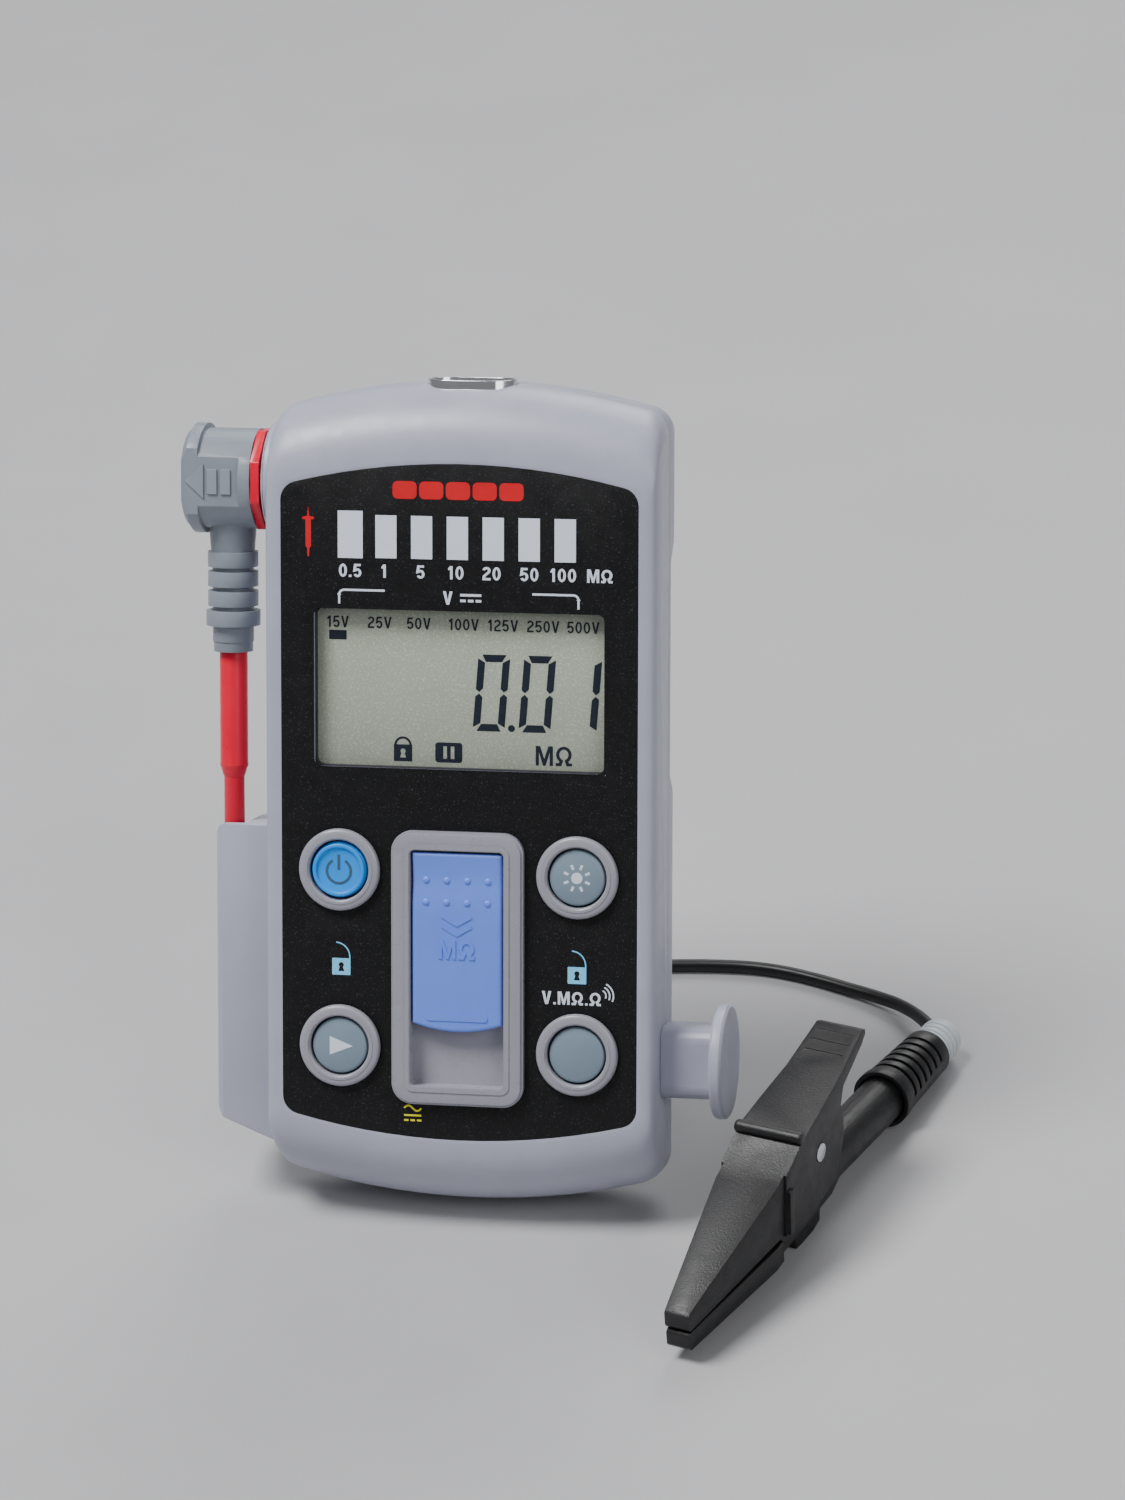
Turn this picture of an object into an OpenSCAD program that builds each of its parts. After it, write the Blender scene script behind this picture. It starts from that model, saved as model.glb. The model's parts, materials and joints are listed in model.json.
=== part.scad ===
// Pocket insulation resistance tester with a swinging line probe and an earth lead with a clip.
// The tester leans back on a folding stand; X runs to the right, Y to the back, Z up.
// Inside each tester module, u is X across the front, w is Y into the case, v is Z up the case.

/* [Case] */
// Width across the front
case_w = 63.2; // [62:0.2:66]
// Height of the case
case_h = 131.6; // [131:0.2:132.4]
// Depth of the case at its thick ends
case_d = 19.9; // [19.9:0.1:20.4]
// Depth of the front shell, up to the parting line
front_d = 10.8; // [10.6:0.1:11]
// Radius of the arched ends
end_r = 110; // [100:1:140]
// Wall thickness of both shells
wall = 1.8; // [1.6:0.1:2]

/* [Controls] */
// Diameter of each round button cap
cap_d = 9; // [8.6:0.1:9.2]
// How far each round button travels
press = 0.6; // [0.3:0.1:0.6]
// Width of the sliding test key
key_w = 14.6; // [14:0.1:14.6]
// Height of the sliding test key
key_h = 28.7; // [27:0.1:29]

/* [Stand and cord] */
// Angle that the case leans back
lean = 20.6; // [20:0.1:21]
// Angle between the case and the open stand
stand_open = 36; // [35:0.5:37]
// Diameter of the earth cord
cord_d = 2.2; // [2:0.1:2.4]
// Heading of the earth clip, clockwise from straight back
clip_heading = 17; // [15:0.5:19]

/* [Hidden] */
$fn = 48;
hair = 0.05;
half_w = case_w / 2;
case_top = 64.3;
case_low = case_top - case_h;
corner_r = 4.4;
edge_r = 1.5;
rear_r = 5;
top_roll = 11.5;
bottom_roll = 10.6;
panel_t = 0.4;
panel_half = 28.8;
panel_top = 52;
panel_bottom = -56;
button_x = 19.3;
button_top = -12.9;
button_low = -41.3;
button_places = [[-button_x, button_top], [button_x, button_top],
    [-button_x, button_low], [button_x, button_low]];
rim_mid = -28.2;
slot_w = 15.2;
slot_h = 38;
key_top = -9.6;
waist_w = 12.7;
strap_half = 11.9;
line_v = 48.2;
line_w = 10;
pin_u = -39.3;
peg_v = -43.4;
cell_r = 5.25;
cell_u = 5.45;
cell_w = 11.9;
cell_low = -58;
cell_len = 44.5;
upper_screw = [14.5, 54.5];
lower_screw = [21.5, -52];
board_w = 5.3;
board_t = 1.2;
exit_u = -14.5;
exit_v = -46;
pivot_v = 20;
pivot_w = 17.9;
stand_half = 9.5;
plate_t = 1.2;

// The tester's own lowest line rests on the floor, and the object's box is centred on X and Y.
lift = (case_d - rear_r) * sin(lean) - (case_low + rear_r) * cos(lean) + rear_r;
shift_x = 1.9;
shift_y = -15.55;
pivot_z = lift - pivot_w * sin(lean) + pivot_v * cos(lean);
pivot_y = shift_y + pivot_w * cos(lean) + pivot_v * sin(lean);
leg_tilt = stand_open - lean;
leg_len = pivot_z / cos(leg_tilt);
foot_y = pivot_y + pivot_z * tan(leg_tilt);

// The earth clip, in its own line: s runs back from the jaws' tip. Its place and the cord's are
// measured across the floor from the point under the middle of the case's front.
clip_x = 41.05;
clip_y = -54.65;
hinge_s = 40.4;
hinge_z = 15.6;
tube_r = 3.9;
tube_s = 45;
tube_z = 7;
tube_dip = 3.6;

// The cord: coil first, then the stretch on the floor that runs round to the clip.
coil_x = -26.8;
coil_y = 41.2;
coil_r = 13;
coil_turns = 6.5;
coil_pitch = 2.25;
cord_r = cord_d / 2;
cord_z = 1.2;
coil_h = cord_z + coil_turns * coil_pitch + cord_r;
lead_in = [[-14.5, 0.4, 19.3], [-14.5, 3.4, 18.2], [-14.5, 5.9, 17.25], [-14.5, 9.4, 16.6],
    [-14.5, 13.4, 16.1], [-14.9, 17.6, 15.9], [-16.3, 21.8, 15.8], [-19, 25.4, 15.8],
    [-22.6, 27.6, 15.8], [-26.8, 28.2, 15.8]];
lead_out = [[-26.8, 54.2, 1.2], [-21.2, 54.6, 1.2], [-15.2, 55.8, 1.2], [-8.2, 57.8, 1.2], [-1.2, 59.6, 1.2],
    [5.8, 60.9, 1.2], [12.8, 61.6, 1.2], [18.8, 62.1, 1.2], [25.8, 62.7, 1.2], [32.8, 62.6, 1.2],
    [38.8, 61.4, 1.2], [44.8, 59.3, 1.2], [50.8, 56.5, 1.3], [55.8, 53.8, 1.6], [60.3, 50.4, 2.2],
    [63.8, 46.2, 3], [66.4, 42, 3.7], [68.2, 38.6, 4]];

function run_off(depth, roll, w) = w >= depth ? 0 : roll * (1 - sqrt(1 - pow((depth - w) / depth, 2)));

function arc(centre, r, a0, a1, steps) =
    [for (i = [0:steps]) let (a = a0 + (a1 - a0) * i / steps) centre + r * [cos(a), sin(a)]];

// An outline with straight sides, arched ends and round corners.
function outline(hw, top, bottom, rc = corner_r, ends = end_r, steps = 14, turns = 6) =
    let (reach = sqrt(pow(ends - rc, 2) - pow(hw - rc, 2)),
         swing = acos((hw - rc) / (ends - rc)),
         wide = 180 - 2 * swing,
         upper = top - ends, lower = bottom + ends)
    concat(
        arc([hw - rc, upper + reach], rc, 0, swing, turns),
        arc([0, upper], ends, swing + wide / steps, 180 - swing - wide / steps, steps - 2),
        arc([rc - hw, upper + reach], rc, 180 - swing, 180, turns),
        arc([rc - hw, lower - reach], rc, 180, 180 + swing, turns),
        arc([0, lower], ends, 180 + swing + wide / steps, 360 - swing - wide / steps, steps - 2),
        arc([hw - rc, lower - reach], rc, 360 - swing, 360, turns));

// Skin over level outlines; each level is [w, side inset, top inset, bottom inset].
module loft(levels) {
    rings = [for (l = levels)
        outline(half_w - l[1], case_top - l[2], case_low + l[3], corner_r - min(l[1], 2.5))];
    n = len(rings[0]);
    last = len(levels) - 1;
    polyhedron(
        points = [for (k = [0:last]) for (p = rings[k]) [p[0], levels[k][0], p[1]]],
        faces = concat(
            [[for (i = [n - 1:-1:0]) i]],
            [[for (i = [0:n - 1]) last * n + i]],
            [for (k = [0:last - 1]) for (i = [0:n - 1]) [k * n + i, k * n + (i + 1) % n, (k + 1) * n + i]],
            [for (k = [0:last - 1]) for (i = [0:n - 1])
                [(k + 1) * n + i, k * n + (i + 1) % n, (k + 1) * n + (i + 1) % n]]),
        convexity = 8);
}

module place() {
    translate([shift_x, shift_y, lift]) rotate([-lean, 0, 0]) children();
}

module floor_place() {
    translate([shift_x, shift_y, 0]) children();
}

module clip_place() {
    floor_place() translate([clip_x, clip_y, 0]) rotate([0, 0, -clip_heading]) children();
}

// A sheet shape drawn in u and v, from depth w0 to w1.
module slab(w0, w1) {
    translate([0, w1, 0]) rotate([90, 0, 0]) linear_extrude(w1 - w0) children();
}

// A turned shape about an axis along w; its profile is [radius, w].
module turned(u, v) {
    translate([u, 0, v]) rotate([-90, 0, 0]) rotate_extrude() children();
}

// A rod along w.
module rod(u, v, w0, w1, r) {
    translate([u, w0, v]) rotate([-90, 0, 0]) cylinder(h = w1 - w0, r = r);
}

// A rod along u.
module bar(u0, u1, v, w, r0, r1 = -1) {
    translate([u0, w, v]) rotate([0, 90, 0]) cylinder(h = u1 - u0, r1 = r0, r2 = r1 < 0 ? r0 : r1);
}

module block(u, v, w) {
    translate([u[0], w[0], v[0]]) cube([u[1] - u[0], w[1] - w[0], v[1] - v[0]]);
}

module round_rect(w, h, r) {
    union() {
        square([w - 2 * r, h], center = true);
        square([w, h - 2 * r], center = true);
        for (x = [-1, 1], y = [-1, 1]) translate([x * (w / 2 - r), y * (h / 2 - r)]) circle(r = r);
    }
}

module torch_outline(grow = 0) {
    square([6.3, 8 + 2 * grow], center = true);
    for (x = [-3.15, 3.15]) translate([x, 0]) circle(r = 4 + grow);
}

module torch_cut() {
    translate([0, 10.6, case_top - 7]) linear_extrude(12) torch_outline(hair);
}

module screw_posts(w0, w1, r) {
    for (s = [-1, 1]) {
        rod(s * upper_screw[0], upper_screw[1], w0, w1, r);
        rod(s * lower_screw[0], lower_screw[1], w0, w1, r);
    }
}

module side_cuts() {
    bar(-half_w - 1, -half_w + 3.15, line_v, line_w, 9.35);
    bar(half_w - 2.55, half_w + 1, peg_v, line_w, 3.05);
    torch_cut();
}

// Casings

module front_case() {
    color([0.75, 0.76, 0.8]) place() difference() {
        union() {
            difference() {
                loft([for (w = [0, 0.15, 0.45, 0.9, 1.5, 2.6, 4.2, 6.2, 8.4, front_d])
                    [w, run_off(edge_r, edge_r, w), run_off(front_d, top_roll, w),
                        run_off(front_d, bottom_roll, w)]]);
                loft([[2.2, 2.6, 7.2, 6.6], [5, wall, 4.2, 3.6], [front_d + 1, wall, 2.1, 2.1]]);
            }
            screw_posts(2, front_d - 0.1, 3);
        }
        slab(-1, panel_t) polygon(outline(panel_half + hair, panel_top + hair, panel_bottom - hair, 3));
        slab(-1, 4) translate([0, 16.2]) square([47.3, 25.6], center = true);
        for (p = button_places) rod(p[0], p[1], -1, 4, 6.15);
        slab(-1, 4) translate([0, rim_mid]) round_rect(17.2, 40.2, 2);
        screw_posts(5, front_d + 1, 1.15);
        side_cuts();
    }
}

module rear_case() {
    waist_top = 36;
    waist_low = 2;
    color([0.7, 0.71, 0.76]) place() difference() {
        union() {
            difference() {
                loft(concat([[front_d + hair, 0, 0, 0], [case_d - rear_r, 0, 0, 0]],
                    [for (a = [15:15:90]) let (i = rear_r * (1 - cos(a)))
                        [case_d - rear_r + rear_r * sin(a), i, i, i]]));
                translate([-half_w - 1, 0, 0]) rotate([90, 0, 90]) linear_extrude(case_w + 2)
                    polygon([[waist_w, waist_low], [waist_w, waist_top], [case_d, waist_top + 9.5],
                        [case_d + 2, waist_top + 9.5], [case_d + 2, waist_low - 7.5],
                        [case_d, waist_low - 7.5]]);
                intersection() {
                    slab(front_d - 1, case_d)
                        polygon(outline(half_w - wall, case_top - 2.2, case_low + 2.2, 3.4));
                    translate([-half_w, 0, 0]) rotate([90, 0, 90]) linear_extrude(case_w)
                        polygon([[front_d - 1, -70], [17.3, -70], [17.3, -8.5], [waist_w - 1.5, 0.5],
                            [waist_w - 1.5, 38], [case_d - wall, 47], [case_d - wall, 66],
                            [front_d - 1, 66]]);
                }
            }
            intersection() {
                screw_posts(front_d + 0.1, case_d - 1.2, 3.1);
                slab(front_d, case_d) polygon(outline(half_w - 1, case_top - 1, case_low + 1, 3.4));
            }
            for (s = [-1, 1])
                block([s * 11.15 - 1.25, s * 11.15 + 1.25], [pivot_v - 3.2, pivot_v + 3.2], [waist_w - 0.3, 20]);
        }
        block([-strap_half, strap_half], [case_low - 1, -2], [case_d - 1.4, case_d + 1]);
        block([-11.6, 11.6], [-61, -11], [16, case_d]);
        screw_posts(front_d - 1, case_d - 4.2, 1.4);
        screw_posts(case_d - 4.2, case_d + 1, 2.4);
        bar(-13, 13, pivot_v, pivot_w, 1.02);
        rod(exit_u, exit_v, 15, case_d + 1, 2.1);
        side_cuts();
    }
}

module front_panel() {
    color([0.06, 0.06, 0.07]) place() difference() {
        slab(0, panel_t - 0.02) polygon(outline(panel_half, panel_top, panel_bottom, 3));
        slab(-1, 1) translate([0, 16.2]) square([47.4, 25.7], center = true);
        for (p = button_places) rod(p[0], p[1], -1, 1, 6.15);
        slab(-1, 1) translate([0, rim_mid]) round_rect(17.2, 40.2, 2);
    }
}

module window_lens() {
    color([0.8, 0.85, 0.8, 0.4]) place() slab(0.1, 1.5) translate([0, 16.2]) round_rect(47.1, 25.4, 0.5);
}

// Display stack and board

module lcd_frame() {
    color([0.2, 0.2, 0.22]) place() slab(2.3, 5.2) translate([0, 16.2]) difference() {
        square([55.4, 33.4], center = true);
        square([52.2, 30.2], center = true);
    }
}

module lcd_glass() {
    color([0.68, 0.71, 0.66]) place() {
        slab(2.4, 2.95) translate([0, 16.2]) square([52, 27.4], center = true);
        slab(2.95, 3.5) translate([0, 16.2]) square([52, 30], center = true);
    }
}

module backlight_panel() {
    color([0.9, 0.93, 0.9]) place() slab(3.7, 4.9) translate([0, 16.2]) square([50, 25], center = true);
}

module zebra_strips() {
    color([0.9, 0.5, 0.6]) place() for (s = [-1, 1])
        slab(3.55, 5.25) translate([0, 16.2 + s * 14.1]) square([50, 1.6], center = true);
}

module main_board() {
    color([0.1, 0.4, 0.25]) place() slab(board_w, board_w + board_t) difference() {
        translate([0, -0.5]) square([54, 93], center = true);
        for (s = [-1, 1]) translate([s * 24.5, 43.5]) circle(r = 1.5);
    }
}

module processor_chip() {
    color([0.12, 0.12, 0.13]) place() {
        block([-6, 6], [14, 26], [6.6, 8]);
        for (s = [-1, 1]) {
            block([s * 7 - 1.1, s * 7 + 1.1], [14.8, 25.2], [6.55, 6.8]);
            block([-5.2, 5.2], [20 + s * 7 - 1.1, 20 + s * 7 + 1.1], [6.55, 6.8]);
        }
    }
}

module converter_transformer() {
    color([0.25, 0.2, 0.18]) place() {
        block([13.5, 26.5], [-31, -29.2], [6.6, 14]);
        block([13.5, 26.5], [-19.8, -18], [6.6, 14]);
        block([15.5, 24.5], [-29.2, -19.8], [7.4, 13.4]);
    }
}

module high_voltage_capacitor() {
    color([0.75, 0.15, 0.12]) place() slab(6.6, 13) translate([-19.5, -22]) round_rect(12, 15, 1);
}

module buzzer() {
    color([0.1, 0.1, 0.1]) place() turned(-20.5, -38)
        polygon([[1, 6.6], [5.5, 6.6], [5.5, 10], [5, 10.5], [1, 10.5]]);
}

module tact_switches() {
    color([0.3, 0.3, 0.32]) place() for (p = button_places) {
        block([p[0] - 2.6, p[0] + 2.6], [p[1] - 2.6, p[1] + 2.6], [4.6, board_w - hair]);
        rod(p[0], p[1], 4.3, 4.7, 1.4);
    }
}

module test_switch() {
    color([0.25, 0.25, 0.28]) place() difference() {
        block([-4, 4], [-39, -17], [3.3, board_w - hair]);
        block([-2.2, 2.2], [-37.4, -18.6], [3, 4.7]);
    }
}

// Controls

module button_rim(i) {
    p = button_places[i];
    color([0.68, 0.67, 0.69]) place() turned(p[0], p[1])
        polygon([[4.8, -0.9], [5.1, -1.2], [6.05, -1.2], [6.45, -1], [6.6, -0.6], [6.6, -0.02], [6.1, -0.02],
            [6.1, 2.3], [4.8, 2.3]]);
}

module power_rim() button_rim(0);
module light_rim() button_rim(1);
module hold_rim() button_rim(2);
module mode_rim() button_rim(3);

module button(i, tint) {
    p = button_places[i];
    r = cap_d / 2;
    stem_w = 4.3 - press - 0.1;
    color(tint) place() turned(p[0], p[1])
        polygon([[0, -0.8], [r - 0.6, -0.8], [r - 0.15, -0.6], [r, -0.2], [r, 2.7], [5.6, 2.7], [5.6, 3.2],
            [1.2, 3.2], [1.2, stem_w], [0, stem_w]]);
}

module power_button() {
    union() {
        button(0, [0.2, 0.65, 0.95]);
        color([0.6, 0.6, 0.65]) place() turned(button_places[0][0], button_places[0][1])
            polygon([[3.6, -1.1], [3.75, -1.25], [4.1, -1.25], [4.25, -1.1], [4.25, -0.6], [3.6, -0.6]]);
    }
}
module light_button() button(1, [0.55, 0.6, 0.64]);
module hold_button() button(2, [0.55, 0.6, 0.64]);
module mode_button() button(3, [0.55, 0.6, 0.64]);

module test_key_rim() {
    color([0.68, 0.67, 0.69]) place() difference() {
        union() {
            slab(-1.1, -0.02) translate([0, rim_mid]) round_rect(21.4, 44, 3.4);
            slab(-1.5, -1.05) translate([0, rim_mid]) round_rect(20.6, 43.2, 3);
            slab(-0.1, 2.1) translate([0, rim_mid]) round_rect(17, 40, 2);
        }
        slab(-2, 1.3) translate([0, rim_mid]) round_rect(slot_w, slot_h, 0.8);
        block([-2, 2], [-36, -18], [0, 3]);
    }
}

module test_key() {
    low = key_top - key_h;
    color([0.5, 0.6, 0.9]) place() {
        difference() {
            union() {
                slab(-1, 1) intersection() {
                    translate([-key_w / 2, low]) square([key_w, key_h]);
                    translate([0, low + 22]) circle(r = 22, $fn = 96);
                }
                slab(-1.35, -0.9) intersection() {
                    translate([-key_w / 2 + 0.5, low]) square([key_w - 1, key_h - 0.5]);
                    translate([0, low + 22]) circle(r = 21.5, $fn = 96);
                }
            }
            bar(-8, 8, key_top - 8, -13.2, 12.1);
        }
        for (x = [-5.1, -1.7, 1.7, 5.1], y = [4.6, 8.2]) rod(x, key_top - y, -1.45, -0.8, 0.55);
        block([-1.7, 1.7], [key_top - 14.6, key_top - 10], [0.9, 4.4]);
    }
}

// Torch on the top end

module torch_reflector() {
    color([0.85, 0.85, 0.87]) place() difference() {
        translate([0, 10.6, case_top - 6.9]) linear_extrude(7.3) torch_outline(0);
        translate([0, 10.6, case_top - 0.6]) linear_extrude(2) torch_outline(-0.5);
        hull() {
            translate([0, 10.6, case_top - 0.6]) linear_extrude(0.1) torch_outline(-0.7);
            translate([0, 10.6, case_top - 5]) cylinder(h = 0.1, r = 2.7, $fn = 32);
        }
        translate([0, 10.6, case_top - 8]) cylinder(h = 5, r = 2.45);
    }
}

module torch_led() {
    color([0.95, 0.95, 0.9]) place() translate([0, 10.6, case_top - 6.8]) {
        cylinder(h = 4.4, r = 2.4);
        translate([0, 0, 4.4]) intersection() {
            sphere(r = 2.4);
            cylinder(h = 3, r = 3);
        }
    }
}

// Line probe on the left side

module line_boss() {
    color([0.75, 0.76, 0.8]) place() translate([-half_w + 3.1, line_w, line_v])
        rotate([0, -90, 0]) rotate_extrude() polygon([[3.1, 0], [9.3, 0], [9.3, 3.3], [9, 3.8], [8, 4.1], [3.1, 4.1]]);
}

module line_socket() {
    color([0.85, 0.7, 0.35]) place() difference() {
        bar(-half_w - 0.8, -18, line_v, line_w, 3.05);
        bar(-half_w - 2, -19, line_v, line_w, 2.05);
    }
}

module plug_collar() {
    color([0.85, 0.12, 0.2]) place() difference() {
        translate([-34.4, line_w, line_v]) rotate([0, 90, 0]) rotate([0, 0, 22.5])
            cylinder(h = 1.5, r = 8.5, $fn = 8);
        bar(-36, -31, line_v, line_w, 2.02);
    }
}

module plug_pin() {
    color([0.85, 0.7, 0.35]) place() {
        bar(-36, -20, line_v, line_w, 2);
        bar(-20, -19.4, line_v, line_w, 2, 1.2);
    }
}

module elbow_housing() {
    rib_tops = [36.5, 33.35, 30.2, 27.05];
    rib_h = 2.45;
    color([0.58, 0.61, 0.64]) place() difference() {
        union() {
            bar(-43.4, -34.5, line_v, line_w, 8.05);
            bar(-45, -43.2, line_v, line_w, 8.8);
            bar(-45.9, -44.9, line_v, line_w, 7.7, 8.75);
            translate([pin_u, line_w, line_v - 12]) cylinder(h = 10, r1 = 3.5, r2 = 4.2);
            translate([pin_u, line_w, 22]) cylinder(h = 15, r = 3.3);
            for (i = [0:3]) translate([pin_u, line_w, rib_tops[i] - rib_h])
                cylinder(h = rib_h, r = i == 3 ? 4.35 : 4.05);
            translate([pin_u, line_w, 20.4]) cylinder(h = 4, r = 3.15);
        }
        block([-47, -36.4], [line_v - 6, line_v + 6], [0, 2.95]);
        translate([pin_u, line_w, 18]) cylinder(h = 24, r = 2.3);
        bar(-36.1, -34, line_v, line_w, 2.02);
    }
}

module probe_sleeve() {
    color([0.85, 0.12, 0.2]) place() difference() {
        union() {
            translate([pin_u, line_w, 2]) cylinder(h = 39.4, r = 2.25);
            translate([pin_u, line_w, 0.1]) cylinder(h = 2, r1 = 1.7, r2 = 2.35);
            translate([pin_u, line_w, -23.8]) cylinder(h = 24.5, r = 1.65);
        }
        translate([pin_u, line_w, -30]) cylinder(h = 48.5, r = 1.02);
    }
}

module probe_tip() {
    color([0.8, 0.8, 0.8]) place() {
        translate([pin_u, line_w, -40.9]) cylinder(h = 58, r = 1);
        translate([pin_u, line_w, -43.9]) cylinder(h = 3.1, r1 = 0.3, r2 = 1);
    }
}

module probe_holder() {
    left = -41.65;
    right = -half_w - hair;
    color([0.73, 0.74, 0.79]) place() difference() {
        slab(6.4, 18.4) polygon([[right, -7.2], [left + 1.6, -7.2], [left + 0.5, -7.7], [left, -8.8],
            [left, -53.6], [left + 0.8, -55.2], [right, -58.9]]);
        block([-41.15, -36.9], [-48, 0], [8, 20]);
        translate([left - 0.01, 6.39, -60]) rotate([0, 0, 45]) cube([1.6, 1.6, 120], center = true);
    }
}

module clip_peg() {
    color([0.73, 0.74, 0.79]) place() {
        bar(half_w - 2.5, half_w + 0.5, peg_v, line_w, 3);
        translate([half_w + hair, line_w, peg_v]) rotate([0, 90, 0]) linear_extrude(8.5)
            round_rect(11.6, 9, 2.4);
        translate([half_w + 8.5, line_w, peg_v]) rotate([0, 90, 0]) rotate_extrude()
            polygon([[0, 0], [8.9, 0], [9.2, 0.4], [9.2, 1.6], [8.8, 2], [8, 2], [0, 1.4]]);
    }
}

// Power

module battery_cell(s) {
    color([0.2, 0.25, 0.3]) place() translate([s * cell_u, cell_w, cell_low]) {
        cylinder(h = cell_len - 1, r = cell_r);
        cylinder(h = cell_len, r = 1.9);
    }
}

module battery_left() battery_cell(-1);
module battery_right() battery_cell(1);

module battery_contacts() {
    color([0.8, 0.8, 0.82]) place() for (s = [-1, 1]) {
        block([s * cell_u - 4.5, s * cell_u + 4.5], [cell_low - 1.6, cell_low - 1.2], [7.4, 16.4]);
        block([s * cell_u - 4.5, s * cell_u + 4.5], [-13.3, -12.9], [7.4, 16.4]);
        translate([s * cell_u, cell_w, cell_low - 1.3]) cylinder(h = 1.2, r1 = 3.4, r2 = 2.2);
    }
}

module battery_cover() {
    color([0.7, 0.71, 0.76]) place() difference() {
        union() {
            block([-11.4, 11.4], [-60.8, -11.2], [17.35, case_d - 1.45]);
            for (i = [0:3]) block([-9, -3], [-50 + 2 * i, -49.2 + 2 * i], [case_d - 1.5, case_d - 1.3]);
        }
        rod(7.5, -57.5, 15, 20, 1.35);
        rod(7.5, -57.5, 17.8, 20, 2.3);
    }
}

module cover_screw() {
    color([0.6, 0.6, 0.62]) place() difference() {
        union() {
            rod(7.5, -57.5, 17.85, 18.4, 2.1);
            rod(7.5, -57.5, 17.45, 17.9, 1.25);
        }
        block([7.25, 7.75], [-60, -55], [18.15, 19]);
    }
}

module case_screws() {
    color([0.6, 0.6, 0.62]) place() difference() {
        union() {
            screw_posts(case_d - 4.1, case_d - 2.4, 2.2);
            screw_posts(5.4, case_d - 4, 1.1);
        }
        for (s = [-1, 1], p = [upper_screw, lower_screw]) {
            block([s * p[0] - 1.4, s * p[0] + 1.4], [p[1] - 0.25, p[1] + 0.25], [case_d - 3, case_d]);
            block([s * p[0] - 0.25, s * p[0] + 0.25], [p[1] - 1.4, p[1] + 1.4], [case_d - 3, case_d]);
        }
    }
}

// Stand, drawn open: its plate runs down to a flat foot on the floor.

module tilt_stand() {
    color([0.3, 0.31, 0.34]) difference() {
        union() {
            place() bar(-stand_half, stand_half, pivot_v, pivot_w, 2);
            intersection() {
                translate([shift_x, pivot_y, pivot_z]) rotate([leg_tilt, 0, 0])
                    translate([-stand_half, 1, -leg_len - 6]) cube([2 * stand_half, plate_t, leg_len + 6]);
                translate([-50, -100, 0]) cube([100, 300, 200]);
            }
            translate([shift_x - stand_half, foot_y + 1.2, 0]) cube([2 * stand_half, 4.4, 1.4]);
        }
        place() bar(-stand_half - 1, stand_half + 1, pivot_v, pivot_w, 1.05);
    }
}

module stand_pin() {
    color([0.75, 0.75, 0.77]) place() bar(-12.3, 12.3, pivot_v, pivot_w, 1);
}

// Earth cord and its clip

module cord_grommet() {
    color([0.1, 0.1, 0.1]) place() turned(exit_u, exit_v)
        polygon([[1.15, 14.4], [2.9, 14.4], [2.9, 14.95], [2.05, 14.95], [2.05, case_d + 0.05],
            [2.6, case_d + 0.05], [2.4, case_d + 1], [1.5, case_d + 3.4], [1.15, case_d + 3.4]]);
}

// Rings of points swept along a route, flat-capped at both ends.
module sweep(route, r, sides = 8) {
    n = len(route);
    rings = [for (i = [0:n - 1])
        let (d = route[min(i + 1, n - 1)] - route[max(i - 1, 0)],
             t = d / norm(d),
             side = cross(t, [0, 0, 1]),
             x = side / norm(side),
             y = cross(x, t))
        [for (k = [0:sides - 1]) route[i] + r * (cos(360 * k / sides) * x + sin(360 * k / sides) * y)]];
    polyhedron(
        points = [for (ring = rings) for (p = ring) p],
        faces = concat(
            [[for (k = [sides - 1:-1:0]) k]],
            [[for (k = [0:sides - 1]) (n - 1) * sides + k]],
            [for (i = [0:n - 2]) for (k = [0:sides - 1])
                [i * sides + k, i * sides + (k + 1) % sides, (i + 1) * sides + k]],
            [for (i = [0:n - 2]) for (k = [0:sides - 1])
                [(i + 1) * sides + k, i * sides + (k + 1) % sides, (i + 1) * sides + (k + 1) % sides]]),
        convexity = 6);
}

module earth_cord() {
    color([0.08, 0.08, 0.09]) floor_place() {
        sweep(lead_in, cord_r);
        sweep(lead_out, cord_r);
    }
}

module earth_cord_coil() {
    color([0.08, 0.08, 0.09]) floor_place() translate([coil_x, coil_y, 0]) rotate_extrude()
        translate([coil_r - cord_r, 0]) square([cord_d, coil_h]);
}

// A rod along the tube's line, from s0 to s1.
module on_tube(s0, s1, r0, r1 = -1) {
    translate([0, tube_s, tube_z]) rotate([-90 - tube_dip, 0, 0])
        translate([0, 0, s0 - tube_s]) cylinder(h = s1 - s0, r1 = r0, r2 = r1 < 0 ? r0 : r1);
}

// A plate across the clip, from t0 to t1, drawn in s and z.
module across(t0, t1) {
    translate([t0, 0, 0]) rotate([90, 0, 90]) linear_extrude(t1 - t0) children();
}

module cord_cap() {
    r = 3.6;
    back = 96;
    rings = [for (i = [0:2]) each let (s = 92.2 + 1.3 * i)
        [[r, s], [r - 0.4, s + 0.05], [r - 0.4, s + 0.3], [r, s + 0.35]]];
    dome = [for (a = [15:15:75]) [r * cos(a), back + 0.85 * r * sin(a)]];
    color([0.85, 0.87, 0.88]) clip_place() translate([0, tube_s, tube_z]) rotate([-90 - tube_dip, 0, 0])
        translate([0, 0, -tube_s]) rotate_extrude()
            polygon(concat([[0, 91.1], [r, 91.1]], rings, [[r, back]], dome, [[0, back + 0.85 * r]]));
}

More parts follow.
